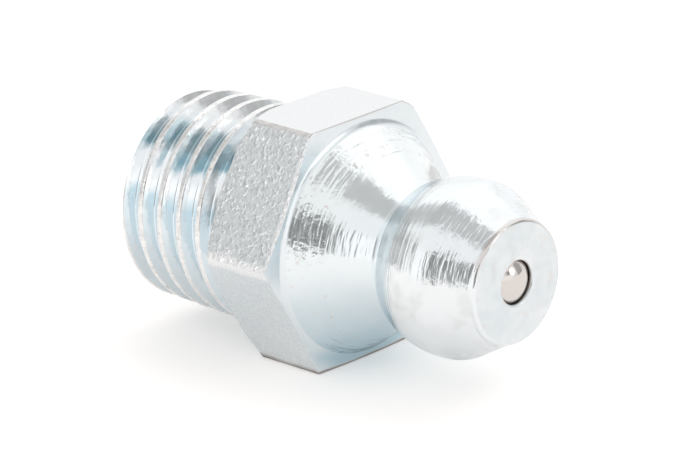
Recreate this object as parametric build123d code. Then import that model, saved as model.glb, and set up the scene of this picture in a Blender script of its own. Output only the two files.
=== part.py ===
from build123d import *
import math
import os

# Straight ball-check grease nipple with an M8x1 taper thread, lying on one flat of its hexagon.
# Millimetres and degrees. +X runs along the axis towards the nose, +Z is up, and the origin is
# on the axis in the plane of the hexagon's shoulder, so the threaded shank reaches into -X.
# The shank is the plain taper that carries the thread: its surface is the thread's crest.

# ---- threaded shank -------------------------------------------------------------------------
THREAD_DIAMETER = 8.0  # nominal size, met at the gauge plane of the taper
THREAD_TAPER = 1 / 16  # growth in diameter for each millimetre along the axis
THREAD_LENGTH = 5.5  # from the shoulder to the inner end
GAUGE_DISTANCE = 2.5  # from the inner end to the gauge plane
THREAD_END_CHAMFER = 0.35  # 45 degree lead-in at the inner end

# ---- hexagon --------------------------------------------------------------------------------
ACROSS_FLATS = 9.0  # spanner size
HEX_LENGTH = 3.2  # along the middle of a flat
HEX_CORNER_ROUND = 0.25  # along the six long edges
HEX_EDGE_CHAMFER = 0.08  # where the flats meet the front face and the shoulder
HEX_FACE_RELIEF = 8.0  # the front face falls back towards the corners by this angle

# ---- cone and neck --------------------------------------------------------------------------
CONE_MARGIN = 0.25  # from the middle of a flat in to the foot of the cone
CONE_FOOT_ROUND = 0.3
NECK_RADIUS = 2.3
NECK_LENGTH = 0.38  # the bare groove between the cone and the head
NECK_CONE_ROUND = 0.5
NECK_HEAD_ROUND = 0.2
NECK_WALL_SHARE = 0.95  # of the neck's wall beside that round, which the cone's round may take

# ---- head that the coupler grips ------------------------------------------------------------
NOSE_HEIGHT = 10.5  # from the shoulder to the flat nose face
HEAD_RADIUS = 3.25
HEAD_LENGTH = 4.22  # from the head's rear face to the nose face
HEAD_REAR_STEP = 0.46  # how far the rear face stands out from the neck
LAND_LENGTH = 0.62  # the short cylinder at the head's full radius
LAND_FRONT_ROUND = 0.5
NOSE_CONE_ANGLE = 30.0  # of the front cone, against the axis
NOSE_RADIUS = 2.3  # of the rim round the nose face
NOSE_RIM_LENGTH = 0.23
NOSE_RIM_ROUND = 0.15

# ---- check valve in the grease bore ---------------------------------------------------------
BALL_RADIUS = 1.25
BALL_STAND = 0.1  # how far the ball's crown stands out of the nose face
BALL_BORE_CLEARANCE = 0.1  # between the ball and the wall of the spring bore
SEAT_CLEARANCE = 0.02  # from the ball to its seat, and from the spring to what it bears on
SEAT_HALF_ANGLE = 45.0
NOSE_HOLE_RADIUS = 0.81
NOSE_HOLE_CHAMFER = 0.04
WIRE_RADIUS = 0.15
COIL_BORE_CLEARANCE = 0.15  # between the coils and the wall of the spring bore
WIRE_FACETS = 8  # flats that stand for the wire's round, fine enough at this size
ACTIVE_TURNS = 9
CLOSED_TURNS = 1  # at each end of the spring
CLOSED_TURN_GAP = 0.03  # between the wires of two closed turns
EASED_TURNS = 1.0  # over which the pitch grows from a closed turn to an open one
POINTS_PER_TURN = 8  # of the curve through the middle of the wire

# ---- staked inner end -----------------------------------------------------------------------
LIP_THICKNESS = 0.5
LIP_GRIP = 0.2  # how far the lip reaches in past the outside of the coils
LIP_CHAMFER = 0.12
STAKE_MARGIN = 0.35  # solid metal between the spring bore and the staking groove
STAKE_WIDTH = 0.7
STAKE_DEPTH = 0.35

POINT_TOLERANCE = 1e-4  # two places closer than this are the same one

# ---- worked out from the sizes above --------------------------------------------------------
HALF_TAPER = THREAD_TAPER / 2
SHANK_END = -THREAD_LENGTH
SHANK_ROOT_RADIUS = THREAD_DIAMETER / 2 + (THREAD_LENGTH - GAUGE_DISTANCE) * HALF_TAPER
SHANK_END_RADIUS = THREAD_DIAMETER / 2 - GAUGE_DISTANCE * HALF_TAPER

FLAT_RADIUS = ACROSS_FLATS / 2
CORNER_RADIUS = FLAT_RADIUS / math.cos(math.pi / 6)
RELIEF_SLOPE = math.tan(math.radians(HEX_FACE_RELIEF))
CONE_FOOT_RADIUS = FLAT_RADIUS - CONE_MARGIN
CONE_FOOT = HEX_LENGTH + CONE_MARGIN * RELIEF_SLOPE

HEAD_REAR = NOSE_HEIGHT - HEAD_LENGTH
NECK_START = HEAD_REAR - NECK_LENGTH
RIM_START = NOSE_HEIGHT - NOSE_RIM_LENGTH
LAND_END = RIM_START - (HEAD_RADIUS - NOSE_RADIUS) / math.tan(math.radians(NOSE_CONE_ANGLE))
LAND_START = LAND_END - LAND_LENGTH

BALL_CENTRE = NOSE_HEIGHT + BALL_STAND - BALL_RADIUS
SPRING_BORE_RADIUS = BALL_RADIUS + BALL_BORE_CLEARANCE
SEAT_HALF = math.radians(SEAT_HALF_ANGLE)
SEAT_APEX = BALL_CENTRE + (BALL_RADIUS + SEAT_CLEARANCE) / math.sin(SEAT_HALF)
SEAT_MOUTH = SEAT_APEX - NOSE_HOLE_RADIUS / math.tan(SEAT_HALF)
SEAT_FOOT = SEAT_APEX - SPRING_BORE_RADIUS / math.tan(SEAT_HALF)

COIL_OUTER_RADIUS = SPRING_BORE_RADIUS - COIL_BORE_CLEARANCE
COIL_RADIUS = COIL_OUTER_RADIUS - WIRE_RADIUS
LIP_FACE = SHANK_END + LIP_THICKNESS
LIP_RADIUS = COIL_OUTER_RADIUS - LIP_GRIP
SPRING_START = LIP_FACE + WIRE_RADIUS + SEAT_CLEARANCE
# The last turn bears on the back of the ball, along a circle of the coil's own radius.
BALL_REACH = BALL_RADIUS + WIRE_RADIUS + SEAT_CLEARANCE
SPRING_END = BALL_CENTRE - math.sqrt(BALL_REACH**2 - COIL_RADIUS**2)


def round_corner(sketch, corner, radius):
    """Round the corner of a half section that lies at the point given."""
    return fillet(sketch.vertices().sort_by_distance(corner)[0], radius)


def rim_edges(body, x, radius):
    """The circles of one radius about the axis that lie at one place along it."""
    circles = body.edges().filter_by(GeomType.CIRCLE)
    level = [edge for edge in circles if abs(edge.arc_center.X - x) < POINT_TOLERANCE]
    return [edge for edge in level if abs(edge.radius - radius) < POINT_TOLERANCE]


def turned_form():
    """Shank, cone, neck and head: all that is round about the axis."""
    # A steep cone leaves less of the neck for the round at its end.
    cone_angle = math.atan2(CONE_FOOT_RADIUS - NECK_RADIUS, NECK_START - CONE_FOOT)
    widest_cone_round = NECK_WALL_SHARE * (NECK_LENGTH - NECK_HEAD_ROUND) / math.tan(cone_angle / 2)
    foot = (CONE_FOOT, CONE_FOOT_RADIUS)
    neck_start = (NECK_START, NECK_RADIUS)
    neck_end = (HEAD_REAR, NECK_RADIUS)
    head_rear = (HEAD_REAR, NECK_RADIUS + HEAD_REAR_STEP)
    land_start = (LAND_START, HEAD_RADIUS)
    land_end = (LAND_END, HEAD_RADIUS)
    nose_edge = (NOSE_HEIGHT, NOSE_RADIUS)
    with BuildSketch(Plane.XY) as section:
        with BuildLine():
            Polyline(
                (NOSE_HEIGHT, 0),
                (SHANK_END, 0),
                (SHANK_END, SHANK_END_RADIUS - THREAD_END_CHAMFER),
                (SHANK_END + THREAD_END_CHAMFER, SHANK_END_RADIUS + THREAD_END_CHAMFER * HALF_TAPER),
                (0, SHANK_ROOT_RADIUS),
                foot,
                neck_start,
                neck_end,
                head_rear,
            )
            # The back of the head is a round that runs out tangent to the land.
            TangentArc(land_start, head_rear, tangent=(-1, 0))
            Polyline(land_start, land_end, (RIM_START, NOSE_RADIUS), nose_edge, (NOSE_HEIGHT, 0))
        make_face()
        round_corner(section, neck_end, NECK_HEAD_ROUND)
        round_corner(section, neck_start, min(NECK_CONE_ROUND, widest_cone_round))
        round_corner(section, land_end, LAND_FRONT_ROUND)
        round_corner(section, nose_edge, NOSE_RIM_ROUND)
    return revolve(section.sketch, axis=Axis.X)


def hexagon():
    """Spanner hexagon with rounded corners, two flats level, and its front face relieved."""
    with BuildPart() as blank:
        with BuildSketch(Plane.YZ) as across:
            RegularPolygon(radius=CORNER_RADIUS, side_count=6)
            fillet(across.vertices(), HEX_CORNER_ROUND)
        extrude(amount=CONE_FOOT)
        with BuildSketch(Plane.XY):
            with BuildLine():
                Polyline(
                    (0, 0),
                    (0, CORNER_RADIUS),
                    (HEX_LENGTH - (CORNER_RADIUS - FLAT_RADIUS) * RELIEF_SLOPE, CORNER_RADIUS),
                    (CONE_FOOT, CONE_FOOT_RADIUS),
                    (CONE_FOOT, 0),
                    (0, 0),
                )
            make_face()
        revolve(axis=Axis.X, mode=Mode.INTERSECT)
        # Every edge round the two faces is eased, but not the six long ones nor the cone's foot.
        around = blank.edges().filter_by(Axis.X, reverse=True)
        foot = rim_edges(blank.part, CONE_FOOT, CONE_FOOT_RADIUS)
        chamfer([edge for edge in around if edge not in foot], HEX_EDGE_CHAMFER)
    return blank.part


def grease_bore():
    """What the bore removes: spring bore, ball seat and nose hole, and the groove that stakes it."""
    lip_edge = (SHANK_END, LIP_RADIUS)
    with BuildSketch(Plane.XY) as section:
        with BuildLine():
            Polyline(
                (SHANK_END, 0),
                lip_edge,
                (LIP_FACE, LIP_RADIUS),
                (LIP_FACE, SPRING_BORE_RADIUS),
                (SEAT_FOOT, SPRING_BORE_RADIUS),
                (SEAT_MOUTH, NOSE_HOLE_RADIUS),
                (NOSE_HEIGHT, NOSE_HOLE_RADIUS),
                (NOSE_HEIGHT, 0),
                (SHANK_END, 0),
            )
        make_face()
    stake_inner = SPRING_BORE_RADIUS + STAKE_MARGIN
    with BuildSketch(Plane.XY) as groove:
        with BuildLine():
            Polyline(
                (SHANK_END, stake_inner),
                (SHANK_END + STAKE_DEPTH, stake_inner + STAKE_WIDTH / 2),
                (SHANK_END, stake_inner + STAKE_WIDTH),
                (SHANK_END, stake_inner),
            )
        make_face()
    return revolve(section.sketch, axis=Axis.X) + revolve(groove.sketch, axis=Axis.X)


def nipple_body():
    """The turned, hexagonal and bored body, one piece of steel."""
    body = turned_form() + hexagon()
    body = fillet(rim_edges(body, CONE_FOOT, CONE_FOOT_RADIUS), CONE_FOOT_ROUND)
    body -= grease_bore()
    body = chamfer(rim_edges(body, SHANK_END, LIP_RADIUS), LIP_CHAMFER)
    return chamfer(rim_edges(body, NOSE_HEIGHT, NOSE_HOLE_RADIUS), NOSE_HOLE_CHAMFER)


def check_ball():
    """The ball that closes the nose hole from inside."""
    return Pos(BALL_CENTRE, 0, 0) * Sphere(BALL_RADIUS)


def eased_rise(turn):
    """Share of the open turns' extra rise that the wire has gained by this turn of them.

    The pitch grows evenly over the first turns, holds, and shrinks evenly over the last ones.
    """
    turn = min(max(turn, 0), ACTIVE_TURNS)
    steepest = 1 / (ACTIVE_TURNS - EASED_TURNS)
    if turn < EASED_TURNS:
        return steepest * turn**2 / (2 * EASED_TURNS)
    if turn > ACTIVE_TURNS - EASED_TURNS:
        return 1 - steepest * (ACTIVE_TURNS - turn) ** 2 / (2 * EASED_TURNS)
    return steepest * (turn - EASED_TURNS / 2)


def valve_spring():
    """Compression spring with a closed turn at each end, from the staked lip to the ball."""
    turns = ACTIVE_TURNS + 2 * CLOSED_TURNS
    closed_pitch = 2 * WIRE_RADIUS + CLOSED_TURN_GAP
    extra_rise = SPRING_END - SPRING_START - closed_pitch * turns
    route = []
    for step in range(turns * POINTS_PER_TURN + 1):
        turn = step / POINTS_PER_TURN
        along = SPRING_START + closed_pitch * turn + extra_rise * eased_rise(turn - CLOSED_TURNS)
        angle = 2 * math.pi * turn
        route.append((along, -COIL_RADIUS * math.sin(angle), COIL_RADIUS * math.cos(angle)))
    wire = Spline(route)
    section = Plane(origin=wire @ 0, z_dir=wire % 0) * RegularPolygon(WIRE_RADIUS, WIRE_FACETS)
    return sweep(section, path=wire, is_frenet=True)


NODES = {
    "nipple_body": nipple_body,
    "check_ball": check_ball,
    "valve_spring": valve_spring,
}

os.makedirs("parts", exist_ok=True)
for name, build in NODES.items():
    solid = build()
    solid.label = name
    export_step(solid, f"parts/{name}.step")
    print(f"{name}: {solid.volume:.3f} mm3")
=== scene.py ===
"""Looks of a straight ball-check grease nipple with a taper thread, lying on one flat of its hexagon.

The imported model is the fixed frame. Pieces are shaped in millimetres about the nipple's axis, which is X,
and brought to metres when they are finished. The thread's turns, the round wire of the spring and all
finishes are made here.
"""

import logging
import math
from collections.abc import Callable, Sequence
from dataclasses import dataclass
from enum import Enum
from functools import cached_property
from typing import Any

import bmesh
import bpy
from mathutils import Matrix, Vector


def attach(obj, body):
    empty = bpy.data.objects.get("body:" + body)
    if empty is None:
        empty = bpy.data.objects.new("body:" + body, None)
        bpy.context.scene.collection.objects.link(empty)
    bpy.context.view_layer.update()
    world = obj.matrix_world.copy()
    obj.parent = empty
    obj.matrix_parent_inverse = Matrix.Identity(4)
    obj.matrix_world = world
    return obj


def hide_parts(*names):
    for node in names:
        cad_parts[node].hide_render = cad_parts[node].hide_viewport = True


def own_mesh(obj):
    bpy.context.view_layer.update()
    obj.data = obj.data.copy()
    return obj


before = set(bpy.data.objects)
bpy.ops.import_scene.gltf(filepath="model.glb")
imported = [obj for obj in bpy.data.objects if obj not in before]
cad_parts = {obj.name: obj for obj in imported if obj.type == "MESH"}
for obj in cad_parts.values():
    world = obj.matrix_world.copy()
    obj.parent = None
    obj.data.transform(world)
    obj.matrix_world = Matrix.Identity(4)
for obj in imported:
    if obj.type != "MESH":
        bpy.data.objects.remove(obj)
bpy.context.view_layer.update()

LOG = logging.getLogger("grease_nipple")
MM = 0.001
FULL_TURN = 2 * math.pi
JOIN_GAP = 1e-4
CUT_GAP = 1e-5
LEVEL = 0.01
PICTURE_WIDTH = 680
Piece = bpy.types.Object
Pair = tuple[float, float]
Colour = tuple[float, float, float, float]
Stops = Sequence[tuple[float, Colour]]
WHITE: Colour = (1.0, 1.0, 1.0, 1.0)


class Slot(Enum):
    """The record's material slots."""

    BODY = "zinc_plated_steel"
    BALL = "bearing_steel"
    SPRING = "spring_steel"


class Body(Enum):
    """The parts of the frame that pieces move with."""

    HOUSING = "housing"
    BALL = "ball"


class Zone(Enum):
    """The zones of the body's surface, each under the name of its finish."""

    THREAD = "zinc_on_rolled_thread"
    CREST = "zinc_worn_on_thread_crests"
    GRAINED = "zinc_on_grained_flat"
    FLAT = "zinc_on_drawn_flat"
    EDGE = "zinc_on_eased_edge"
    COLLAR = "zinc_on_turned_collar"
    FOOT = "zinc_on_pitted_cone_foot"
    CONE = "zinc_on_turned_cone"
    NECK = "zinc_in_turned_neck"
    HEAD = "zinc_on_turned_head"
    TIP = "zinc_on_turned_tip"
    NOSE = "zinc_on_faced_nose"
    BORE = "drilled_steel_in_the_bore"


class Along(Enum):
    """The coordinates that a finish can change along."""

    X = "x"
    Y = "y"
    Z = "z"
    RADIUS = "radius"


# ---- small tools ----


def linear(code: str) -> Colour:
    """Turns an sRGB hex colour to the linear values that a shader takes.

    Args:
        code: six hex digits, red first.

    Returns:
        Red, green, blue and an alpha of one.
    """
    parts = [int(code[i : i + 2], 16) / 255 for i in (0, 2, 4)]
    bent = [c / 12.92 if c <= 0.04045 else ((c + 0.055) / 1.055) ** 2.4 for c in parts]
    return (bent[0], bent[1], bent[2], 1.0)


def add_node(tree: Any, kind: str, inputs: dict | None = None, stops: Stops = (), **settings: Any) -> Any:
    """Adds one shader node.

    Args:
        tree: the node tree that gets it.
        kind: the node's type, without its prefix.
        inputs: a value, or an output socket to link, for each input by name or number.
        stops: the place and the linear colour of each stop, for a ramp.
        settings: properties of the node itself.

    Returns:
        The new node.
    """
    node = tree.nodes.new("ShaderNode" + kind)
    for name, value in settings.items():
        setattr(node, name, value)
    for name, value in (inputs or {}).items():
        if isinstance(value, bpy.types.NodeSocket):
            tree.links.new(value, node.inputs[name])
        else:
            node.inputs[name].default_value = value
    for i, (place, colour) in enumerate(stops):
        marks = node.color_ramp.elements
        mark = marks[i] if i < len(marks) else marks.new(place)
        mark.position, mark.color = place, colour
    return node


def share_within(tree: Any, spans: list[tuple[Any, float, float]]) -> Any:
    """Adds the share that lies within every one of some spans, each with a soft end.

    Args:
        tree: the node tree that gets it.
        spans: for each, the socket with a value, and the values where the share is none and whole.

    Returns:
        The socket with the share.
    """
    share = 1.0
    for value, none, whole in spans:
        ends = {"Value": value, "From Min": none, "From Max": whole}
        part = add_node(tree, "MapRange", ends, interpolation_type="SMOOTHSTEP").outputs["Result"]
        share = add_node(tree, "Math", {0: share, 1: part}, operation="MULTIPLY").outputs[0]
    return share


def deselect_all() -> None:
    """Leaves nothing selected, the CAD nodes included."""
    bpy.ops.object.select_all(action="DESELECT")


def work_on(piece: Piece) -> None:
    """Makes the piece the only one selected, and active.

    Args:
        piece: the piece to work on.
    """
    deselect_all()
    piece.select_set(True)
    bpy.context.view_layer.objects.active = piece


def pick(kind: str, test: Callable[[Any], bool]) -> None:
    """Selects vertices or faces of the mesh in edit mode.

    Args:
        kind: VERT or FACE.
        test: says of one of them whether it is wanted.
    """
    mesh = bpy.context.object.data
    bpy.ops.mesh.select_mode(type=kind)
    bpy.ops.mesh.select_all(action="DESELECT")
    form = bmesh.from_edit_mesh(mesh)
    for item in form.verts if kind == "VERT" else form.faces:
        if test(item):
            item.select_set(True)
    bmesh.update_edit_mesh(mesh, loop_triangles=False)


def draw_outline(name: str, points: list[Pair]) -> Piece:
    """Draws a half section by extruding one vertex, from a small square, from point to point.

    Args:
        name: the piece's name.
        points: place along the axis and radius of each point.

    Returns:
        The piece, still in edit mode with its last vertex selected.
    """
    deselect_all()
    bpy.ops.mesh.primitive_plane_add(size=0.01, location=(0, 0, 0))
    piece = bpy.context.object
    piece.name = piece.data.name = name
    bpy.ops.object.mode_set(mode="EDIT")
    bpy.ops.mesh.select_mode(type="VERT")
    bpy.ops.mesh.merge(type="CENTER")
    bpy.ops.transform.translate(value=(*points[0], 0))
    for (x0, r0), (x1, r1) in zip(points, points[1:]):
        bpy.ops.mesh.extrude_region_move(TRANSFORM_OT_translate={"value": (x1 - x0, r1 - r0, 0)})
    return piece


def close_form() -> None:
    """Merges what meets, turns all faces outwards and leaves edit mode."""
    bpy.ops.mesh.select_all(action="SELECT")
    bpy.ops.mesh.remove_doubles(threshold=JOIN_GAP)
    bpy.ops.mesh.normals_make_consistent()
    bpy.ops.object.mode_set(mode="OBJECT")


def to_metres(piece: Piece) -> None:
    """Brings a piece drawn in millimetres to metres, with its place in its mesh.

    Args:
        piece: the piece to change.
    """
    work_on(piece)
    piece.scale = (MM, MM, MM)
    bpy.ops.object.transform_apply(location=True, rotation=True, scale=True)


def apply_modifier(piece: Piece, kind: str, **settings: Any) -> None:
    """Gives the piece a modifier and applies it.

    Args:
        piece: the piece to change.
        kind: the modifier's type.
        settings: its properties.
    """
    work_on(piece)
    bpy.ops.object.modifier_add(type=kind)
    modifier = piece.modifiers[-1]
    for name, value in settings.items():
        setattr(modifier, name, value)
    bpy.ops.object.modifier_apply(modifier=modifier.name)


def smooth(piece: Piece, crease_angle: float) -> None:
    """Shades a piece smooth but for its creases, with the larger faces leading.

    Args:
        piece: the piece to shade.
        crease_angle: in degrees, the angle past which an edge stays sharp.
    """
    work_on(piece)
    bpy.ops.object.shade_smooth_by_angle(angle=math.radians(crease_angle))
    apply_modifier(piece, "WEIGHTED_NORMAL", keep_sharp=True)


@dataclass(frozen=True)
class Corner:
    """A corner of a half section, with the radius of its round."""

    x: float
    r: float
    round: float = 0.0
    facets: int = 6

    def points(self, before: "Corner", after: "Corner") -> list[Pair]:
        """The points that the outline passes at this corner.

        Args:
            before: the corner before it.
            after: the corner after it.

        Returns:
            The corner itself, or the points of its round.
        """
        here = Vector((self.x, self.r))
        if not self.round:
            return [tuple(here)]
        back = (Vector((before.x, before.r)) - here).normalized()
        on = (Vector((after.x, after.r)) - here).normalized()
        half = back.angle(on) / 2
        centre = here + (back + on).normalized() * (self.round / math.sin(half))
        start = here + back * (self.round / math.tan(half)) - centre
        end = here + on * (self.round / math.tan(half)) - centre
        turn = math.atan2(start.cross(end), start.dot(end))
        angles = [turn * i / self.facets for i in range(self.facets + 1)]
        return [tuple(centre + Matrix.Rotation(a, 2) @ start) for a in angles]


def rounded(corners: list[Corner]) -> list[Pair]:
    """The points of an open outline with its corners rounded.

    Args:
        corners: the outline's corners in order; the first and the last stay as they are.

    Returns:
        Place along the axis and radius of each point.
    """
    points = [(corners[0].x, corners[0].r)]
    for before, here, after in zip(corners, corners[1:], corners[2:]):
        points += here.points(before, after)
    return points + [(corners[-1].x, corners[-1].r)]


# ---- finishes ----


@dataclass(frozen=True)
class Span:
    """A stretch along one coordinate, from where there is none of it to where it is whole."""

    along: Along
    none: float
    whole: float


class Surface:
    """A material under way: its tree, and the sockets with the place on the piece in millimetres."""

    def __init__(self, name: str) -> None:
        """Starts the material from Object coordinates.

        Args:
            name: the material's name.
        """
        self.material = bpy.data.materials.new(name)
        self.material.use_nodes = True
        self.tree = self.material.node_tree
        self.tree.nodes.clear()
        place = add_node(self.tree, "TexCoord").outputs["Object"]
        self.place = add_node(self.tree, "Mapping", {"Vector": place, "Scale": (1 / MM,) * 3}).outputs["Vector"]

    @cached_property
    def along(self) -> dict[Along, Any]:
        """The coordinates by themselves.

        Returns:
            The socket of each coordinate.
        """
        parts = add_node(self.tree, "SeparateXYZ", {"Vector": self.place}).outputs
        across = add_node(self.tree, "CombineXYZ", {"Y": parts["Y"], "Z": parts["Z"]}).outputs[0]
        radius = add_node(self.tree, "VectorMath", {0: across}, operation="LENGTH").outputs["Value"]
        return {Along.X: parts["X"], Along.Y: parts["Y"], Along.Z: parts["Z"], Along.RADIUS: radius}

    def within(self, spans: tuple[Span, ...]) -> Any:
        """Adds the share that lies within all the spans."""
        return share_within(self.tree, [(self.along[span.along], span.none, span.whole) for span in spans])

    def grain(self, sizes: Pair, detail: float, kept: Pair = (0.0, 1.0), levels: Pair = (0.0, 1.0)) -> Any:
        """Adds an even grain.

        Args:
            sizes: of its spots along the axis and across it, in millimetres.
            detail: octaves of finer grain.
            kept: the span of its heights that is kept; what lies outside is cut flat.
            levels: what the ends of that span become.

        Returns:
            The socket with the grain's height.
        """
        length, width = sizes
        scale = (1 / length, 1 / width, 1 / width)
        drawn = add_node(self.tree, "Mapping", {"Vector": self.place, "Scale": scale}).outputs["Vector"]
        given = {"Vector": drawn, "Scale": 1.0, "Detail": detail}
        spots = add_node(self.tree, "TexNoise", given).outputs["Fac"]
        (low, high), (bottom, top) = kept, levels
        ends = {"Value": spots, "From Min": low, "From Max": high, "To Min": bottom, "To Max": top}
        return add_node(self.tree, "MapRange", ends).outputs["Result"]

    def close(self, shader: Any) -> bpy.types.Material:
        """Links the shader node to the surface, and gives the material."""
        add_node(self.tree, "OutputMaterial", {"Surface": shader.outputs[0]})
        return self.material


@dataclass(frozen=True)
class Relief:
    """One layer of fine relief: an even grain, drawn out along the axis or across it.

    Sizes are in millimetres. A layer that is wider than long runs as streaks round the axis, as turning marks
    do. Real turning marks are about 0.05 mm apart, and the grain of the flats is finer still. Both are too fine
    to show, so they are drawn two to three times as coarse.
    """

    length: float
    width: float
    height: float
    detail: float = 1.0
    span: Pair = (0.3, 0.7)


@dataclass(frozen=True)
class Specks:
    """Small spots of another shade, where an even grain rises past a level."""

    size: float
    level: float
    shade: str
    edge: float


@dataclass(frozen=True)
class Stain:
    """Painted light in another shade, on what lies within all of its spans: painted highlights and painted
    shade.
    """

    shade: str
    spans: tuple[Span, ...]


@dataclass(frozen=True)
class Hollow:
    """A turned face that runs slightly hollow past a place on the axis, most of all at one height."""

    start: float
    depth: float
    height: float
    near: float
    far: float
    power: float = 1.5


@dataclass(frozen=True)
class PlatedSteel:
    """Bright zinc plate with a clear blue passivation over cut or drawn steel.

    The plate follows the marks under it and rounds them a little, so the steel beneath shows as fine
    streaks or grain in a soft metal gloss with a faint cold cast. The passivation's tint wanders between two
    shades, pale and cold. Where the colour goes by height instead, it holds that tint together with painted
    light: painted shade lower down, and painted highlights and painted reflections in bands.
    """

    zone: Zone
    pale: str = "F0F3F4"
    cold: str = "DFE8EC"
    tint_size: float = 1.6
    # colours by height: the passivation's tint together with painted shade and painted highlights
    tints: tuple[tuple[float, str], ...] = ()
    drift: float = 0.8
    specks: tuple[Specks, ...] = ()
    # painted highlight and painted shade over part of the zone
    stain: Stain | None = None
    roughness: Pair = (0.12, 0.26)
    dull_grain: float = 0.4
    middle: Pair = (0.35, 0.65)
    relief: tuple[Relief, ...] = ()
    relief_span: Span | None = None
    hollow: Hollow | None = None

    def tint_by_height(self, surface: Surface, cloud: Any) -> Any:
        """Adds the colour at each height, tint and painted light together, with borders that wander.

        Args:
            surface: the material under way.
            cloud: the socket with what moves the borders.

        Returns:
            The socket with the tint.
        """
        low, high = self.tints[0][0], self.tints[-1][0]
        moved = {0: cloud, 1: self.drift, 2: surface.along[Along.Z]}
        height = add_node(surface.tree, "Math", moved, operation="MULTIPLY_ADD").outputs[0]
        ends = {"Value": height, "From Min": low + self.drift / 2, "From Max": high + self.drift / 2}
        share = add_node(surface.tree, "MapRange", ends).outputs["Result"]
        stops = [((level - low) / (high - low), linear(shade)) for level, shade in self.tints]
        return add_node(surface.tree, "ValToRGB", {"Fac": share}, stops).outputs["Color"]

    def tint(self, surface: Surface) -> Any:
        """Adds the plate's colour: the passivation's tint, then specks, then the painted light over it.

        Args:
            surface: the material under way.

        Returns:
            The socket with the colour.
        """
        cloud = surface.grain((self.tint_size,) * 2, detail=3.0, kept=self.middle)
        # the colour by height carries painted shade and painted highlights
        tint = self.tint_by_height(surface, cloud) if self.tints else linear(self.pale)
        layers = [] if self.tints else [(cloud, self.cold)]
        for kind in self.specks:
            spots = (surface.grain((kind.size,) * 2, detail=2.0), kind.level, kind.level + kind.edge)
            layers.append((share_within(surface.tree, [spots]), kind.shade))
        # painted highlights and painted shade, laid over the colour within their spans
        if self.stain:
            layers.append((surface.within(self.stain.spans), self.stain.shade))
        for share, shade in layers:
            mix = {0: share, 6: tint, 7: linear(shade)}
            tint = add_node(surface.tree, "Mix", mix, data_type="RGBA").outputs[2]
        return tint

    def bumps(self, surface: Surface) -> list[dict[str, Any]]:
        """Adds the heights of the relief.

        Args:
            surface: the material under way.

        Returns:
            The height, strength and distance of each bump, the coarsest first.
        """
        made = []
        if self.hollow:
            h, past, off = self.hollow, surface.along[Along.X], surface.along[Along.Z]
            for operation, value in (("SUBTRACT", h.start), ("MAXIMUM", 0.0), ("POWER", h.power)):
                past = add_node(surface.tree, "Math", {0: past, 1: value}, operation=operation).outputs[0]
            for operation, value in (("SUBTRACT", h.height), ("ABSOLUTE", 0.0)):
                off = add_node(surface.tree, "Math", {0: off, 1: value}, operation=operation).outputs[0]
            strength = share_within(surface.tree, [(off, h.far, h.near)])
            made.append({"Height": past, "Strength": strength, "Distance": h.depth * MM})
        for layer in self.relief:
            height = surface.grain((layer.length, layer.width), layer.detail, layer.span)
            strength = surface.within((self.relief_span,)) if self.relief_span else 1.0
            made.append({"Height": height, "Strength": strength, "Distance": layer.height * MM})
        return made

    def make(self) -> bpy.types.Material:
        """Makes the material.

        Returns:
            The material.
        """
        surface = Surface(self.zone.value)
        normal = {}
        for bump in self.bumps(surface):
            normal = {"Normal": add_node(surface.tree, "Bump", bump | normal).outputs["Normal"]}
        dull = surface.grain((self.dull_grain,) * 2, detail=2.0, kept=self.middle, levels=self.roughness)
        given = {"Base Color": self.tint(surface), "Metallic": 1.0, "Roughness": dull, **normal}
        return surface.close(add_node(surface.tree, "BsdfPrincipled", given))
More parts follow.
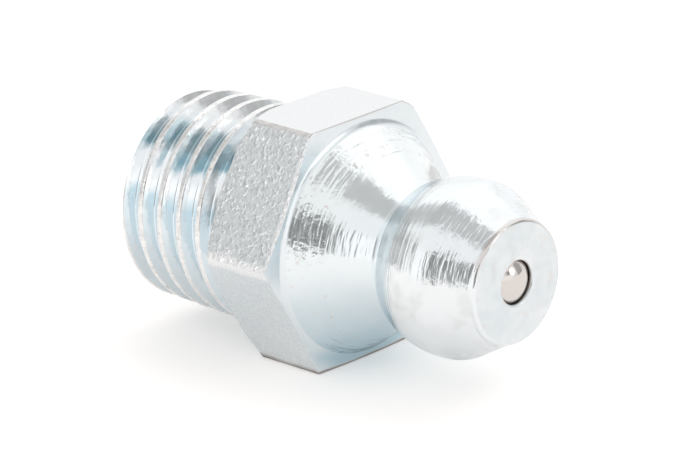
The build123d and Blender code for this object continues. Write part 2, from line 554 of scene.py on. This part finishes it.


# The cone's colour by height: a faint blue cast, and painted shade, darker and bluer towards the bottom.
CONE_TINTS = ((-4.4, "A2C4D3"), (-2.9, "D0DFE5"), (-1.3, "E0E9ED"), (0.5, "E9EFF1"), (4.0, "EEF2F3"))
# white for rubbed spots, and for the painted highlights and painted glints of the grained flat
WORN_WHITE = "FFFFFF"
BODY_FINISHES = (
    # Rolled between dies, so the flanks are bright and wavy. By height it has a blue cast, a pale band of
    # painted highlight, and above it a dark teal band of painted dark reflection.
    PlatedSteel(
        Zone.THREAD,
        tints=(
            # 1.4 to 2.35: painted highlight; 2.65 to 3.0: painted dark reflection, in teal
            (-4.0, "DEE6EA"), (-1.2, "DFE9EE"), (0.8, "DBE8EE"), (1.4, "F8FAFB"), (2.35, "F4F7F9"),
            (2.65, "B4CCD5"), (3.0, "BCD0D7"), (3.4, "E6EAEC"), (4.0, "EEF0F1"),
        ),
        drift=0.7,
        roughness=(0.1, 0.2),
        relief=(Relief(0.5, 0.9, 0.010), Relief(0.15, 0.3, 0.003)),
    ),
    # Rubbed in the tumbling drum that the parts are plated in, so the crests are paler and duller, with dirt.
    PlatedSteel(
        Zone.CREST,
        pale="F5F5F4", cold="E9EAEA",
        tint_size=0.4,
        specks=(Specks(0.12, 0.52, "E2DFDC", 0.15), Specks(0.22, 0.66, "C2BDB9", 0.1)),
        roughness=(0.22, 0.4),
        relief=(Relief(0.2, 0.4, 0.010, 2.0),),
    ),
    # As the bar was drawn and pickled: an even grain. White specks show rubbed high spots and also painted
    # glints of the grain; a white band along the side corner and a white line at the front edge are rubbed pale
    # and painted as highlights of the rounded edges.
    PlatedSteel(
        Zone.GRAINED,
        tints=(
            (-4.5, "E0E4E5"), (-0.3, "E0E4E5"), (0.0, WORN_WHITE), (0.2, WORN_WHITE), (0.4, "E0E4E5"),
            (4.5, "E3E6E7"),
        ),
        drift=0.15,
        specks=(Specks(0.17, 0.6, WORN_WHITE, 0.1),),
        stain=Stain(WORN_WHITE, (Span(Along.X, 3.02, 3.06),)),
        roughness=(0.2, 0.34),
        dull_grain=0.2,
        relief=(Relief(0.14, 0.12, 0.0035), Relief(0.17, 0.15, 0.012, 0.0, (0.58, 0.8))),
    ),
    # The smoother flats: a faint drawn grain. Painted paler along the side corners as their highlight,
    # painted dark along the lowest edge as contact shadow, and a painted dark line of shade along the top
    # flat's front edge.
    PlatedSteel(
        Zone.FLAT,
        tints=(
            (-4.5, "8A8581"), (-4.42, "B0ACA9"), (-4.3, "DDE2E4"), (-0.35, "DFE5E8"), (-0.15, "F8F9F9"),
            (0.2, "F8F9F9"), (4.5, "E9EBEC"),
        ),
        drift=0.1,
        specks=(Specks(0.14, 0.68, "D4D1CE", 0.15),),
        stain=Stain("BDBAB8", (Span(Along.X, 3.02, 3.09), Span(Along.Z, 3.0, 4.0))),
        roughness=(0.2, 0.34),
        relief=(Relief(0.3, 0.25, 0.002, 1.5),),
    ),
    # Rubbed edges of the hexagon: pale and a little dented, with grey dirt specks; painted greyer at the top as
    # shade, and painted dark at the bottom as contact shadow.
    PlatedSteel(
        Zone.EDGE,
        tints=((-4.5, "8F8A86"), (-4.3, "F4F4F4"), (4.2, "F4F4F4"), (4.45, "D8D6D5")),
        drift=0.1,
        specks=(Specks(0.14, 0.55, "D6CFCA", 0.12),),
        roughness=(0.15, 0.25),
        relief=(Relief(0.3, 0.3, 0.004),),
    ),
    # Faced with a fine tool, so it is smooth. Painted dark along the lowest edge as contact shadow, and painted
    # blue-grey low down beside the cone as painted shade.
    PlatedSteel(
        Zone.COLLAR,
        tints=((-4.5, "958F8B"), (-4.43, "B2AEAB"), (-4.38, "E6ECEF"), (2.0, "E6ECEF"), (4.5, "DFE6E9")),
        drift=0.03,
        stain=Stain(
            "C3D7DF",
            (Span(Along.RADIUS, 4.95, 4.4), Span(Along.Z, -3.3, -4.1), Span(Along.Z, -4.44, -4.37)),
        ),
        roughness=(0.15, 0.25),
        relief=(Relief(0.3, 1.0, 0.004),),
    ),
    # Where the tool turned in from the bar's skin, so its streaks are deep and pitted.
    PlatedSteel(
        Zone.FOOT,
        # painted shade, darker and bluer towards the bottom
        tints=CONE_TINTS,
        specks=(Specks(0.25, 0.6, "D9D3CE", 0.2),),
        roughness=(0.1, 0.22),
        relief=(Relief(0.16, 3.5, 0.016), Relief(0.13, 1.2, 0.017), Relief(0.2, 0.25, 0.009, 2.0)),
    ),
    # Turned with a form tool that chattered, so a bright face has ragged streaks round it.
    PlatedSteel(
        Zone.CONE,
        # painted shade, darker and bluer towards the bottom
        tints=CONE_TINTS,
        roughness=(0.1, 0.22),
        relief=(Relief(0.14, 3.5, 0.008), Relief(0.11, 0.8, 0.010), Relief(0.2, 0.3, 0.003)),
        relief_span=Span(Along.Y, 1.6, 0.2),
        hollow=Hollow(4.25, 0.22, 0.9, 1.5, 2.7),
    ),
    # The form tool's tip ran clean here, so the neck is smooth and keeps a bluer film.
    PlatedSteel(
        Zone.NECK,
        pale="EEF4F6", cold="DFEAEF",
        relief=(Relief(0.12, 3.0, 0.006), Relief(0.4, 0.6, 0.003, 2.0)),
    ),
    # Turned all round in long even marks, with soft grey smudges, and painted darker towards the underside as
    # painted shade.
    PlatedSteel(
        Zone.HEAD,
        tints=((-3.3, "CBD1D4"), (-2.6, "E3E7E9"), (-1.0, "EEF1F2"), (3.3, "EAEFF1")),
        specks=(Specks(0.9, 0.5, "E3E6E7", 0.2),),
        relief=(Relief(0.12, 3.0, 0.010), Relief(0.3, 0.5, 0.006, 2.0)),
    ),
    # The chatter shows again on the front cone. It is painted darker towards the underside as painted shade,
    # and its rim has a painted grey line of shade on top.
    PlatedSteel(
        Zone.TIP,
        tints=((-3.3, "D0D6D9"), (-2.4, "E4E8EA"), (-1.0, "EBEFF1"), (3.3, "EBEFF1")),
        specks=(Specks(0.9, 0.5, "E3E6E7", 0.2),),
        stain=Stain("D8D4D2", (Span(Along.X, 10.26, 10.42), Span(Along.Z, 0.4, 1.4))),
        roughness=(0.1, 0.22),
        relief=(Relief(0.1, 0.8, 0.014), Relief(0.18, 0.3, 0.006, 2.0)),
    ),
    # Faced flat and duller than the rest, with a fine even grain.
    PlatedSteel(
        Zone.NOSE,
        pale="E9ECEE", cold="DDE4E7",
        specks=(Specks(0.5, 0.5, "DDDDDD", 0.3),),
        roughness=(0.3, 0.45),
        relief=(Relief(0.12, 0.12, 0.003, 2.0),),
    ),
    # Drilled, and hardly reached by the plating, so it is darker, brownish and dull.
    PlatedSteel(
        Zone.BORE,
        pale="A29E9A", cold="8A8784",
        roughness=(0.3, 0.5),
        relief=(Relief(0.08, 0.6, 0.004),),
    ),
)


@dataclass(frozen=True)
class PolishedSteel:
    """Bare steel with an even gloss.

    Lapped, as the ball is, it is a mirror with hardly a mark. Drawn through a die, as the spring's wire is, it
    is darker and softer.
    """

    name: str
    shade: str
    roughness: float

    def make(self) -> bpy.types.Material:
        """Makes the material.

        Returns:
            The material.
        """
        surface = Surface(self.name)
        given = {"Base Color": linear(self.shade), "Metallic": 1.0, "Roughness": self.roughness}
        return surface.close(add_node(surface.tree, "BsdfPrincipled", given))


@dataclass(frozen=True)
class FloorPaper:
    """Matt white paper sweep, made white for the camera and pale in the metal's reflections."""

    name: str
    shade: str = "F7F4F2"
    lift: float = 0.315
    mirror_lift: float = 0.24

    def make(self) -> bpy.types.Material:
        """Makes the material.

        Returns:
            The material.
        """
        surface = Surface(self.name)
        tree, power = surface.tree, 0.0
        rays = add_node(tree, "LightPath").outputs
        paper = add_node(tree, "BsdfDiffuse", {"Color": linear(self.shade)}).outputs[0]
        for ray, lift in (("Is Glossy Ray", self.mirror_lift), ("Is Camera Ray", self.lift)):
            lifted = {0: rays[ray], 1: lift, 2: power}
            power = add_node(tree, "Math", lifted, operation="MULTIPLY_ADD").outputs[0]
        glow = add_node(tree, "Emission", {"Strength": power}).outputs[0]
        return surface.close(add_node(tree, "AddShader", {0: paper, 1: glow}))


# ---- pieces ----


@dataclass(frozen=True)
class TaperThread:
    """The helical thread, made as a solid rod that the turned blank is cut to.

    Towards the shoulder the turns fade to a share of their depth, as a rolled thread runs out.
    """

    pitch: float = 1.0
    depth: float = 0.43
    gauge_radius: float = 4.0
    gauge_place: float = -3.0
    taper: float = 1 / 32
    crest_flat: float = 0.1
    crest_round: float = 0.09
    root_round: float = 0.07
    flank_angle: float = 60.0
    phase: float = 0.28
    steps: int = 160
    fade_start: float = -1.3
    fade_end: float = -0.2
    fade_rest: float = 0.3
    shoulder: float = 0.001
    cover_radius: float = 7.0
    cover_length: float = 12.0
    past_end: float = 0.4
    past_shoulder: float = 0.6
    round_facets: int = 5
    root_facets: int = 4

    def crest_radius(self, x: float) -> float:
        """Radius of the crest at a place along the axis."""
        return self.gauge_radius + (x - self.gauge_place) * self.taper

    def half_profile(self) -> list[Pair]:
        """One half of a turn's profile, from the middle of the crest to the middle of the root.

        Returns:
            Distance from the crest's middle and depth below the crest, for each point.
        """
        lean = math.radians(self.flank_angle)
        points = [(0.0, 0.0)]
        for i in range(self.round_facets + 1):
            a = lean * i / self.round_facets
            run = self.crest_flat / 2 + self.crest_round * math.sin(a)
            points.append((run, self.crest_round * (1 - math.cos(a))))
        top_x, top_d = points[-1]
        foot_d = self.depth - self.root_round * (1 - math.cos(lean))
        foot_x = top_x + (foot_d - top_d) / math.tan(lean)
        points.append(((top_x + foot_x) / 2, (top_d + foot_d) / 2))
        for i in range(self.root_facets + 1):
            a = lean * (1 - i / self.root_facets)
            run = self.root_round * (math.sin(lean) - math.sin(a))
            points.append((foot_x + run, self.depth - self.root_round * (1 - math.cos(a))))
        return points + [(self.pitch / 2, self.depth)]

    def keep_depth(self, x: float) -> float:
        """Share of the full depth that is cut at a place, which fades towards the shoulder."""
        t = min(max((x - self.fade_start) / (self.fade_end - self.fade_start), 0.0), 1.0)
        return 1 - (1 - self.fade_rest) * t * t * (3 - 2 * t)

    def build(self, end: float) -> Piece:
        """Builds the rod, with a wide collar from the shoulder on.

        Args:
            end: the place of the shank's inner end.

        Returns:
            The rod, in millimetres.
        """
        half = self.half_profile()
        start = self.phase - math.ceil(self.phase - end + 1.5 * self.pitch) * self.pitch
        straight = self.gauge_radius
        outline = [(start + d, straight - h) for d, h in half]
        outline += [(start + self.pitch - d, straight - h) for d, h in reversed(half[:-1])]
        rod = draw_outline("thread_rod", outline)
        bpy.ops.object.mode_set(mode="OBJECT")
        turns = math.ceil((self.past_shoulder - start) / self.pitch) + 1
        helix = {"axis": "X", "angle": FULL_TURN, "screw_offset": self.pitch, "iterations": turns}
        apply_modifier(rod, "SCREW", steps=self.steps, render_steps=self.steps, **helix)
        for vertex in rod.data.vertices:
            x, across = vertex.co.x, vertex.co.yz
            cut = straight - across.length
            across *= (self.crest_radius(x) - cut * self.keep_depth(x)) / across.length
            vertex.co = (x, *across)
        bpy.ops.object.mode_set(mode="EDIT")
        bpy.ops.mesh.select_all(action="SELECT")
        bpy.ops.mesh.remove_doubles(threshold=JOIN_GAP)
        square = {"plane_no": (1, 0, 0), "threshold": CUT_GAP}
        bpy.ops.mesh.bisect(plane_co=(end - self.past_end, 0, 0), use_fill=True, clear_inner=True, **square)
        bpy.ops.mesh.select_all(action="SELECT")
        centre = (self.shoulder, 0, 0)
        bpy.ops.mesh.bisect(plane_co=centre, clear_outer=True, **square)
        wide = self.cover_radius / straight
        bpy.ops.mesh.extrude_edges_move()
        bpy.ops.transform.resize(value=(1, wide, wide), center_override=centre)
        bpy.ops.mesh.extrude_edges_move(TRANSFORM_OT_translate={"value": (self.cover_length, 0, 0)})
        bpy.ops.mesh.edge_face_add()
        close_form()
        return rod


@dataclass(frozen=True)
class NippleBody:
    """The body: turned and bored blank, six flats of the bar, and the thread cut to its taper.

    Places are along the axis from the shoulder. A pair of sizes with no comment is a place and a radius.
    """

    thread: TaperThread = TaperThread()
    shank_end: float = -5.5
    end_chamfer: float = 0.35
    hex_length: float = 3.2
    across_flats: float = 9.0
    bar_radius: float = 5.157
    face_relief: float = 8.0
    flat_edge: float = 0.07
    rear_chamfer: Pair = (0.33, 4.72)
    bar_offset: Pair = (0.1, 0.08)  # of the bar from the turned axis, in y and z
    cone_foot: Pair = (3.235, 4.25)
    foot_round: float = 0.45
    foot_end: float = 4.4
    crest_band: float = 0.05
    neck_start: float = 5.9
    neck_radius: float = 2.3
    neck_end: float = 7.1
    head_rear: Pair = (6.28, 2.76)
    head_radius: float = 3.25
    land_start: float = 8.005
    land_end: float = 8.625
    land_round: float = 1.2
    rim_start: float = 10.27
    nose: float = 10.5
    nose_radius: float = 2.3
    hole_radius: float = 0.81
    hole_round: float = 0.09
    seat: Pair = (9.796, 10.336)  # both ends, along the axis
    bore_radius: float = 1.35
    lip: Pair = (-5.0, 1.0)
    lip_chamfer: float = 0.12
    stake: tuple[float, float, float] = (1.7, 0.7, 0.35)  # inner radius, width and depth of the groove
    nose_ring: tuple[float, float, float, float] = (1.2, 1.13, 1.06, 0.99)  # radii of the tool's ring mark
    nose_ring_depth: float = 0.012
    thread_spare: float = 0.03  # metal that the thread's rod cuts off
    rim_break: float = 0.05  # rounds of the small edges
    groove_round: float = 0.06
    end_round: float = 0.03
    neck_rounds: Pair = (0.5, 0.17)  # beside the cone and beside the head
    nose_round: float = 0.15
    steps: int = 240
    back_steps: int = 20
    back_start: int = 2  # the first of those steps that the rear edge's round leaves
    flat_corners: int = 60  # a cut flat has more than this
    crease: float = 28.0
    side_normals: Pair = (-0.5, 0.97)  # how far the hexagon's side may lean back and forward
    collar_normal: float = 0.75
    nose_normal: float = 0.95
    inward_share: float = -0.3
    neck_lead: float = 0.2

    def head_back(self) -> list[Pair]:
        """Points of the round back of the head, which runs out tangent to the land.

        Returns:
            The points, from its rear edge to the land.
        """
        run, rise = self.land_start - self.head_rear[0], self.head_radius - self.head_rear[1]
        round_radius = (run * run + rise * rise) / (2 * rise)
        whole = math.asin(run / round_radius)
        centre = self.head_radius - round_radius
        angles = [whole * (1 - i / self.back_steps) for i in range(self.back_steps + 1)]
        arc = [(round_radius * math.sin(a), round_radius * math.cos(a)) for a in angles]
        return [(self.land_start - back, centre + out) for back, out in arc]

    def cone_radius(self, x: float) -> float:
        """Radius of the front cone at a place along the axis."""
        share = (x - self.cone_foot[0]) / (self.neck_start - self.cone_foot[0])
        return self.cone_foot[1] + share * (self.neck_radius - self.cone_foot[1])

    def outside(self) -> list[Pair]:
        """Points of the outside, from the staked end to the nose hole.

        Returns:
            Place and radius of each point.
        """
        end, nose, chamfer = self.shank_end, self.nose, self.end_chamfer
        inner, width, drop = self.stake
        end_radius = self.thread.crest_radius(end)
        spare, small, groove = self.thread_spare, self.rim_break, self.groove_round
        ring_out, ring_top, ring_low, ring_in = self.nose_ring
        ring_floor = nose - self.nose_ring_depth
        slope = math.tan(math.radians(self.face_relief))
        relief = self.hex_length - (self.bar_radius - self.across_flats / 2) * slope
        back = self.head_back()
        rear = [
            Corner(end, self.lip[1] + self.lip_chamfer),
            Corner(end, inner, small, 2),
            Corner(end + drop, inner + width / 2, groove, 3),
            Corner(end, inner + width, small, 2),
            Corner(end, end_radius - chamfer, self.end_round, 2),
            Corner(end + chamfer + spare, end_radius + spare),
            Corner(0, self.thread.crest_radius(0) + spare),
            Corner(0, self.rear_chamfer[1]),
            Corner(self.rear_chamfer[0], self.bar_radius),
            Corner(relief, self.bar_radius, groove, 3),
            Corner(*self.cone_foot, self.foot_round, 8),
            Corner(self.foot_end, self.cone_radius(self.foot_end)),
            Corner(self.neck_start, self.neck_radius, self.neck_rounds[0], 8),
            Corner(self.head_rear[0], self.neck_radius, self.neck_rounds[1]),
            Corner(*self.head_rear, small, 3),
            Corner(*back[self.back_start]),
        ]
        front = [
            Corner(*back[-1]),
            Corner(self.land_end, self.head_radius, self.land_round, 14),
            Corner(self.rim_start, self.nose_radius, self.end_round, 2),
            Corner(nose, self.nose_radius, self.nose_round),
            Corner(nose, ring_out),
            Corner(ring_floor, ring_top),
            Corner(ring_floor, ring_low),
            Corner(nose, ring_in),
            Corner(nose, self.hole_radius, self.hole_round, 5),
            Corner(self.seat[1], self.hole_radius),
        ]
        return rounded(rear) + back[self.back_start + 1 : -1] + rounded(front)

    def inside(self) -> list[Pair]:
        """Points of the bore, from the nose hole back to the staked lip.

        Returns:
            Place and radius of each point.
        """
        (place, radius), bore = self.lip, self.bore_radius
        foot = (self.shank_end + self.lip_chamfer, radius)
        return [(self.seat[0], bore), (place, bore), (place, radius), foot]

    def turn_blank(self) -> Piece:
        """Turns the bored blank from its half section.

        Returns:
            The blank, in millimetres.
        """
        outline = self.outside() + self.inside()
        blank = draw_outline("nipple_body_plated", outline + outline[:1])
        bpy.ops.mesh.select_all(action="SELECT")
        bpy.ops.mesh.spin(steps=self.steps, angle=FULL_TURN, center=(0, 0, 0), axis=(1, 0, 0))
        close_form()
        return blank

    def cut_flats(self, blank: Piece) -> None:
        """Cuts the six flats and eases their edges.

        The bar lies a little off the turned axis, but for the flat that the part rests on. The chamfer behind
        the hexagon was cut with the bar, so its ring moves with it.

        Args:
            blank: the turned blank, which is changed.
        """
        work_on(blank)
        bpy.ops.object.mode_set(mode="EDIT")
        ring = self.rear_chamfer[1]
        pick("VERT", lambda v: max(abs(v.co.x), abs(v.co.yz.length - ring)) < JOIN_GAP)
        middle = Vector((0, *self.bar_offset))
        bpy.ops.transform.translate(value=middle)
        sides, resting = 6, 3
        for side in range(sides):
            a = FULL_TURN * side / sides
            normal = Vector((0, math.sin(a), math.cos(a)))
            place = self.across_flats / 2 + (0 if side == resting else middle.dot(normal))
            cut = {"use_fill": True, "clear_outer": True, "threshold": CUT_GAP}
            bpy.ops.mesh.select_all(action="SELECT")
            bpy.ops.mesh.bisect(plane_co=normal * place, plane_no=normal, **cut)
        pick("FACE", lambda face: len(face.verts) > self.flat_corners and abs(face.normal.x) < LEVEL)
        bpy.ops.mesh.region_to_loop()
        bpy.ops.mesh.bevel(offset=self.flat_edge, segments=3, clamp_overlap=True)
        bpy.ops.object.mode_set(mode="OBJECT")

    def build(self) -> Piece:
        """Builds the whole body in millimetres, finished but for its materials.

        Returns:
            The body.
        """
        body = self.turn_blank()
        self.cut_flats(body)
        rod = self.thread.build(self.shank_end)
        apply_modifier(body, "BOOLEAN", operation="INTERSECT", solver="EXACT", object=rod)
        bpy.data.objects.remove(rod)
        smooth(body, self.crease)
        return body

    def side_zone(self, normal: Vector) -> Zone:
        """The zone of a face on the hexagon's side: every other flat is grained, the others are smoother.

        Args:
            normal: the face's normal.

        Returns:
            The zone.
        """
        every_other = 120
        turned = math.degrees(math.atan2(normal.y, normal.z)) % every_other
        if abs(normal.x) >= LEVEL:
            return Zone.EDGE
        if abs(turned - every_other / 2) < 1:
            return Zone.GRAINED
        return Zone.FLAT if min(turned, every_other - turned) < 1 else Zone.EDGE

    def zone(self, middle: Vector, normal: Vector) -> Zone:
        """The zone that a face belongs to.

        Args:
            middle: the face's middle in millimetres.
            normal: its normal.

        Returns:
            The zone.
        """
        x, radius = middle.x, middle.yz.length
        inwards = middle.yz.dot(normal.yz) < self.inward_share * radius
        hole = self.nose - self.hole_round
        back, front = self.side_normals
        if inwards and radius < self.bore_radius + LEVEL and x < hole:
            return Zone.BORE
        if x < JOIN_GAP:
            return Zone.CREST if radius > self.thread.crest_radius(x) - self.crest_band else Zone.THREAD
        if x < self.hex_length and back < normal.x < front and radius > self.cone_foot[1]:
            return self.side_zone(normal)
        if x < self.foot_end:
            return Zone.COLLAR if abs(normal.x) > self.collar_normal else Zone.FOOT
        if x < self.land_end:
            beyond = Zone.NECK if x < self.neck_end else Zone.HEAD
            return Zone.CONE if x < self.neck_start - self.neck_lead else beyond
        return Zone.NOSE if (normal.x > self.nose_normal or inwards) and x > hole else Zone.TIP

    def dress(self, body: Piece) -> None:
        """Gives the body its finishes and its place in the frame.

        Args:
            body: the body, in metres.
        """
        places = {}
        for i, finish in enumerate(BODY_FINISHES):
            body.data.materials.append(finish.make())
            places[finish.zone] = i
        for face in body.data.polygons:
            face.material_index = places[self.zone(face.center / MM, face.normal)]
        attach(body, Body.HOUSING.value)
        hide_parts("nipple_body")


@dataclass(frozen=True)
class CheckBall:
    """The lapped ball that closes the nose hole."""

    centre: float = 9.35
    radius: float = 1.25
    cuts: int = 4

    def build(self) -> Piece:
        """Rounds a finely divided block to a ball, so that its facets are even all over.

        Returns:
            The ball, in millimetres.
        """
        deselect_all()
        bpy.ops.mesh.primitive_cube_add(size=2 * self.radius, location=(0, 0, 0))
        ball = bpy.context.object
        ball.name = ball.data.name = "check_ball_lapped"
        bpy.ops.object.mode_set(mode="EDIT")
        bpy.ops.mesh.subdivide(number_cuts=2**self.cuts - 1)
        bpy.ops.transform.tosphere(value=1.0)
        bpy.ops.object.mode_set(mode="OBJECT")
        for vertex in ball.data.vertices:
            vertex.co = vertex.co.normalized() * self.radius + Vector((self.centre, 0, 0))
        bpy.ops.object.shade_smooth()
        return ball

    def dress(self, ball: Piece) -> None:
        """Gives the ball its finish and its place in the frame.

        Args:
            ball: the ball, in metres.
        """
        ball.data.materials.append(PolishedSteel("lapped_bearing_steel", shade="D8D2CE", roughness=0.06).make())
        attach(ball, Body.BALL.value)
        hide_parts("check_ball")


@dataclass(frozen=True)
class ValveSpring:
    """The compression spring of round wire, with a closed turn at each end."""

    wire_radius: float = 0.15
    coil_radius: float = 1.05
    start: float = -4.83
    end: float = 8.41
    open_turns: int = 9
    closed_turns: int = 1
    closed_gap: float = 0.03
    steps: int = 36
    keep: float = 0.8895  # of the spring's length, when the ball is all the way in
    crease: float = 40.0

    def rise(self, turn: float) -> float:
        """Share of the open turns' extra rise that is gained by this turn of them.

        Args:
            turn: turns since the first open one began.

        Returns:
            The share.
        """
        turn = min(max(turn, 0.0), self.open_turns)
        last = self.open_turns - 1
        return (min(turn, 1) ** 2 / 2 + max(turn - 1, 0) - max(turn - last, 0) ** 2 / 2) / last

    def build(self) -> Piece:
        """Draws the wire's path as a curve, gives it its round section and makes it a mesh.

        Returns:
            The spring, in millimetres.
        """
        turns = self.open_turns + 2 * self.closed_turns
        pitch = 2 * self.wire_radius + self.closed_gap
        extra = self.end - self.start - pitch * turns
        deselect_all()
        bpy.ops.curve.primitive_nurbs_path_add(location=(0, 0, 0))
        spring = bpy.context.object
        spring.name = "valve_spring_wire"
        spring.data.splines.clear()
        path = spring.data.splines.new("POLY")
        path.points.add(turns * self.steps)
        for i, point in enumerate(path.points):
            turn = i / self.steps
            along = self.start + pitch * turn + extra * self.rise(turn - self.closed_turns)
            angle = FULL_TURN * turn
            point.co = (along, -self.coil_radius * math.sin(angle), self.coil_radius * math.cos(angle), 1)
        spring.data.bevel_depth = self.wire_radius
        spring.data.bevel_resolution = 3
        spring.data.use_fill_caps = True
        bpy.ops.object.convert(target="MESH")
        spring.data.name = spring.name
        bpy.ops.object.mode_set(mode="EDIT")
        close_form()
        smooth(spring, self.crease)
        return spring

    def dress(self, spring: Piece) -> None:
        """Gives the spring its finish and its place in the frame, with a mesh of its own.

        Args:
            spring: the spring, in metres.
        """
        spring.data.materials.append(PolishedSteel("drawn_spring_wire", shade="9C9A96", roughness=0.3).make())
        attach(spring, Body.HOUSING.value)
        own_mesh(spring)
        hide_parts("valve_spring")


# ---- studio ----


@dataclass(frozen=True)
class Panel:
    """A stretch of even or evenly changing light between two angles, in degrees, round an axis of the room."""

    start: float
    end: float
    level: float
    end_level: float | None = None

    def stops(self) -> list[Pair]:
        """The angle and the level of light at each of its ends."""
        return [(self.start, self.level), (self.end, self.level if self.end_level is None else self.end_level)]


@dataclass(frozen=True)
class Studio:
    """White paper floor, plain soft light and the camera.

    The light fades evenly from one panel to the next, and a pair of sizes says where a share is none and whole.
    """

    floor_level: float = -4.503
    floor_size: float = 2.0
    azimuth: float = 43.615
    elevation: float = 19.729
    roll: float = -1.77
    distance: float = 179.74
    focal_pixels: float = 27.56 * 179.74
    side: Pair = (1.477, -0.235)
    clip: Pair = (0.01, 10.0)
    brightest: float = 1.2
    ceiling: tuple[Panel, ...] = (
        Panel(-180, 0, 1.0),  # the room's back
        Panel(20, 80, 1.2),  # soft box
        Panel(86, 114, 0.6),  # gap beside it
        Panel(119, 180, 1.0),  # white ceiling
    )
    walls: tuple[Panel, ...] = (
        Panel(-180, -136, 0.45, 0.5),  # unlit corner of the room
        Panel(-131, -84, 1.15),  # white card on the left
        Panel(-74, -74, 0.5),
        Panel(-56, -34, 0.27, 0.35),  # dark room behind the camera
        Panel(-16, -2, 1.0),  # narrow card
        Panel(3.5, 12, 0.42),  # slit between the cards
        Panel(17, 38, 1.0),  # second card
        Panel(45, 64, 0.5, 0.52),  # its stand
        Panel(72, 110, 1.0, 1.1),  # lit wall on the right
        Panel(150, 150, 1.05),
        Panel(165, 180, 0.6, 0.45),  # the unlit corner again
    )
    wall_top: Pair = (0.45, 0.54)
    wall_dip: Pair = (0.7, 0.85)
    dip_depth: float = 0.09
    ceiling_end: Pair = (0.33, 0.6)
    glimpse_width: Pair = (0.86, 0.95)
    glimpse_height: Pair = (0.27, 0.17)
    lamp_way: tuple[float, float, float] = (0.87, 0.39, 0.31)
    lamp_edge: Pair = (11.0, 8.0)
    lamp_level: float = 2.0

    def lay_floor(self) -> None:
        """Lays the paper floor."""
        deselect_all()
        bpy.ops.mesh.primitive_plane_add(size=self.floor_size, location=(0, 0, self.floor_level * MM))
        floor = bpy.context.object
        floor.name = "paper_floor"
        floor.data.materials.append(FloorPaper("white_paper").make())

    def grey(self, level: float) -> Colour:
        """The colour that gives a level of light, as a share of the brightest."""
        return (level / self.brightest,) * 3 + (1.0,)

    def ring_light(self, tree: Any, around: Any, panels: tuple[Panel, ...]) -> Any:
        """Adds light from panels that stand in a ring.

        Args:
            tree: the world's tree.
            around: the socket with the direction, turned so that the ring's axis is z.
            panels: the panels in order of angle.

        Returns:
            The socket with the level.
        """
        angle = add_node(tree, "TexGradient", {"Vector": around}, gradient_type="RADIAL").outputs["Fac"]
        ends = [end for panel in panels for end in panel.stops()]
        stops = [((degrees + 180) / 360, self.grey(level)) for degrees, level in dict.fromkeys(ends)]
        return add_node(tree, "ValToRGB", {"Fac": angle}, stops).outputs["Color"]

    def light_world(self) -> None:
        """Lights the room: a ceiling of long soft panels, walls of cards below it, and one small lamp."""
        world = bpy.data.worlds.new("studio_room")
        bpy.context.scene.world = world
        world.use_nodes = True
        tree = world.node_tree
        tree.nodes.clear()
        way = add_node(tree, "TexCoord").outputs["Generated"]
        parts = add_node(tree, "SeparateXYZ", {"Vector": way}).outputs
        lying = {"X": parts["Y"], "Y": parts["Z"], "Z": parts["X"]}
        over = self.ring_light(tree, add_node(tree, "CombineXYZ", lying).outputs["Vector"], self.ceiling)
        ahead = share_within(tree, [(parts["X"], *self.ceiling_end)])
        over = add_node(tree, "Mix", {0: ahead, 6: over, 7: self.grey(1.0)}, data_type="RGBA").outputs[2]
        sideways = add_node(tree, "Math", {0: parts["X"]}, operation="ABSOLUTE").outputs[0]
        glimpse = [(sideways, *self.glimpse_width), (parts["Z"], *self.glimpse_height)]
        dip = {0: share_within(tree, [(parts["X"], *self.wall_dip)]), 1: self.dip_depth, 2: parts["Z"]}
        dipped = add_node(tree, "Math", dip, operation="MULTIPLY_ADD").outputs[0]
        aim = {0: way, 1: self.lamp_way}
        toward = add_node(tree, "VectorMath", aim, operation="DOT_PRODUCT").outputs["Value"]
        outer, inner = (math.cos(math.radians(a)) for a in self.lamp_edge)
        level = self.ring_light(tree, way, self.walls)
        for spans, light in (
            (glimpse, WHITE),
            ([(dipped, *self.wall_top)], over),
            ([(toward, outer, inner)], self.grey(self.lamp_level)),
        ):
            mix = {0: share_within(tree, spans), 6: level, 7: light}
            level = add_node(tree, "Mix", mix, data_type="RGBA").outputs[2]
        glow = add_node(tree, "Background", {"Color": level, "Strength": self.brightest})
        add_node(tree, "OutputWorld", {"Surface": glow.outputs[0]})

    def set_camera(self) -> None:
        """Places the camera at its angle, distance and lens."""
        turned = Matrix.Rotation(math.radians(self.azimuth), 4, "Z")
        turned @= Matrix.Rotation(math.radians(90 - self.elevation), 4, "X")
        turned @= Matrix.Rotation(math.radians(self.roll), 4, "Z")
        place = turned @ Vector((*self.side, self.distance))
        data = bpy.data.cameras.new("camera")
        data.lens = self.focal_pixels * data.sensor_width / PICTURE_WIDTH
        data.clip_start, data.clip_end = self.clip
        camera = bpy.data.objects.new("camera", data)
        bpy.context.scene.collection.objects.link(camera)
        camera.matrix_world = Matrix.Translation(place * MM) @ turned
        bpy.context.scene.camera = camera

    def build(self) -> None:
        """Sets up floor, light, camera and view settings."""
        self.lay_floor()
        self.light_world()
        self.set_camera()
        bpy.context.scene.view_settings.view_transform = "Standard"


def main() -> None:
    """Builds and dresses each piece in turn, then the studio round it."""
    logging.basicConfig(level=logging.INFO, format="%(name)s: %(message)s")
    for maker in (NippleBody(), CheckBall(), ValveSpring()):
        piece = maker.build()
        to_metres(piece)
        maker.dress(piece)
        LOG.info("%s: %d faces", piece.name, len(piece.data.polygons))
    Studio().build()


if __name__ == "__main__":
    main()
